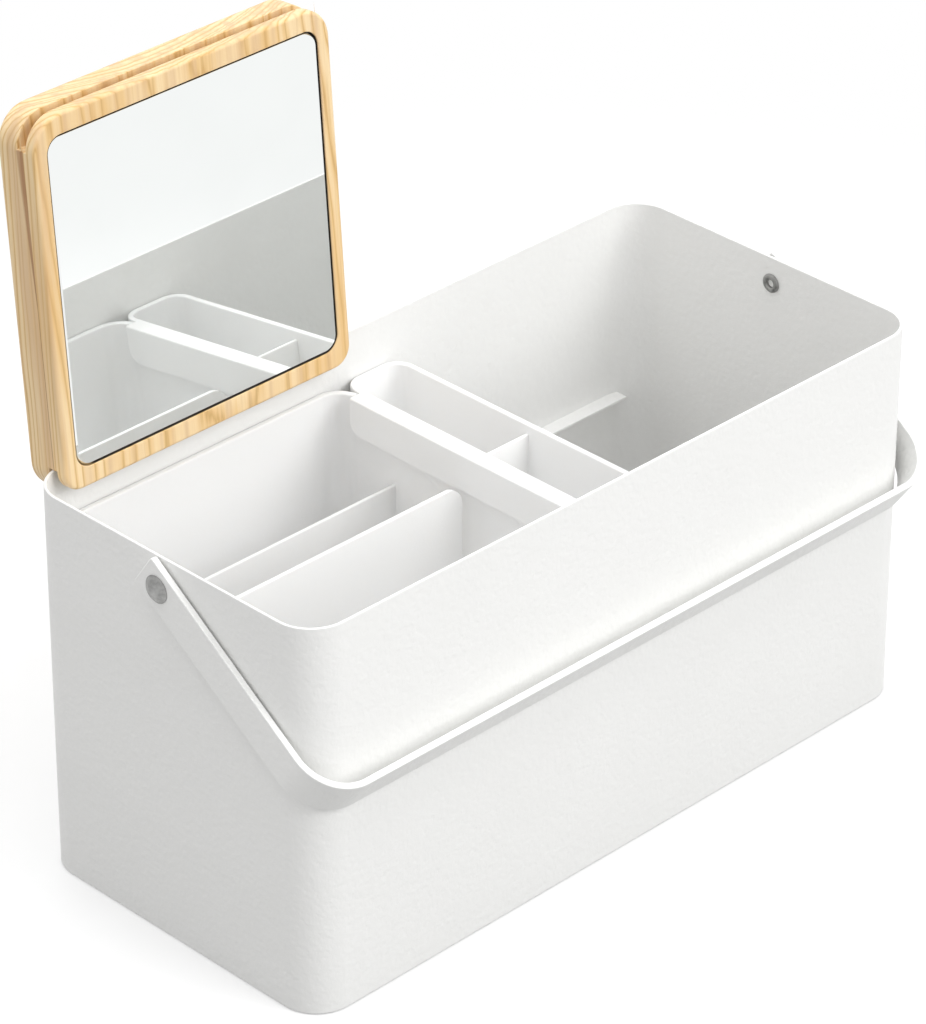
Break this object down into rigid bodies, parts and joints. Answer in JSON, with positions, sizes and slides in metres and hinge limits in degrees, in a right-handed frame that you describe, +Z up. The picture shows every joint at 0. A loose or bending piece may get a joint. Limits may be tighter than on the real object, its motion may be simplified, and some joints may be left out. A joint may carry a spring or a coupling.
{
  "type": "vanity box with mirror",
  "caption": "White steel vanity box with a swinging strap handle, lift-out plastic trays and a pine lid whose mirror stands on the back rim.",
  "frame": {"origin": "centre of the box's flat underside", "axes": "+X along the long side, away from the lid; +Y towards the back wall that carries the lid; +Z up"},
  "size_m": [0.3328, 0.1829, 0.302],
  "materials": {
    "powder_coat": "white powder coat, fine orange peel, satin",
    "rivet_steel": "plain steel, dull",
    "washer_nylon": "white nylon",
    "pine": "clear-coated pine",
    "mirror": "silvered glass, ground edge",
    "tape": "adhesive tape",
    "tray_plastic": "white moulded plastic, satin"
  },
  "bodies": {
    "box": {"body_wall": "powder_coat", "base_plate": "powder_coat", "front_rail": "powder_coat", "back_rail": "powder_coat", "left_pivot_rivet": "rivet_steel", "right_pivot_rivet": "rivet_steel", "left_spacer_washer": "washer_nylon", "right_spacer_washer": "washer_nylon"},
    "handle": {"handle_strap": "powder_coat"},
    "lid": {"lid_board": "pine", "mirror_glass": "mirror", "mirror_tape": "tape"},
    "large_tray": {"large_tray": "tray_plastic"},
    "small_tray": {"small_tray": "tray_plastic"}
  },
  "joints": [
    {"name": "handle_swing", "type": "hinge", "parent": "box", "child": "handle", "pos_m": [0, 0, 0.153], "axis": [-1, 0, 0], "range_deg": [0, 155]},
    {"name": "lid_lift", "type": "slide", "parent": "box", "child": "lid", "axis": [0, 0.075, 0.9972], "range_m": [0, 0.04]},
    {"name": "large_tray_slide", "type": "slide", "parent": "box", "child": "large_tray", "axis": [1, 0, 0], "range_m": [0, 0.127]},
    {"name": "small_tray_lift", "type": "slide", "parent": "large_tray", "child": "small_tray", "axis": [0, 0, 1], "range_m": [0, 0.045]}
  ]
}
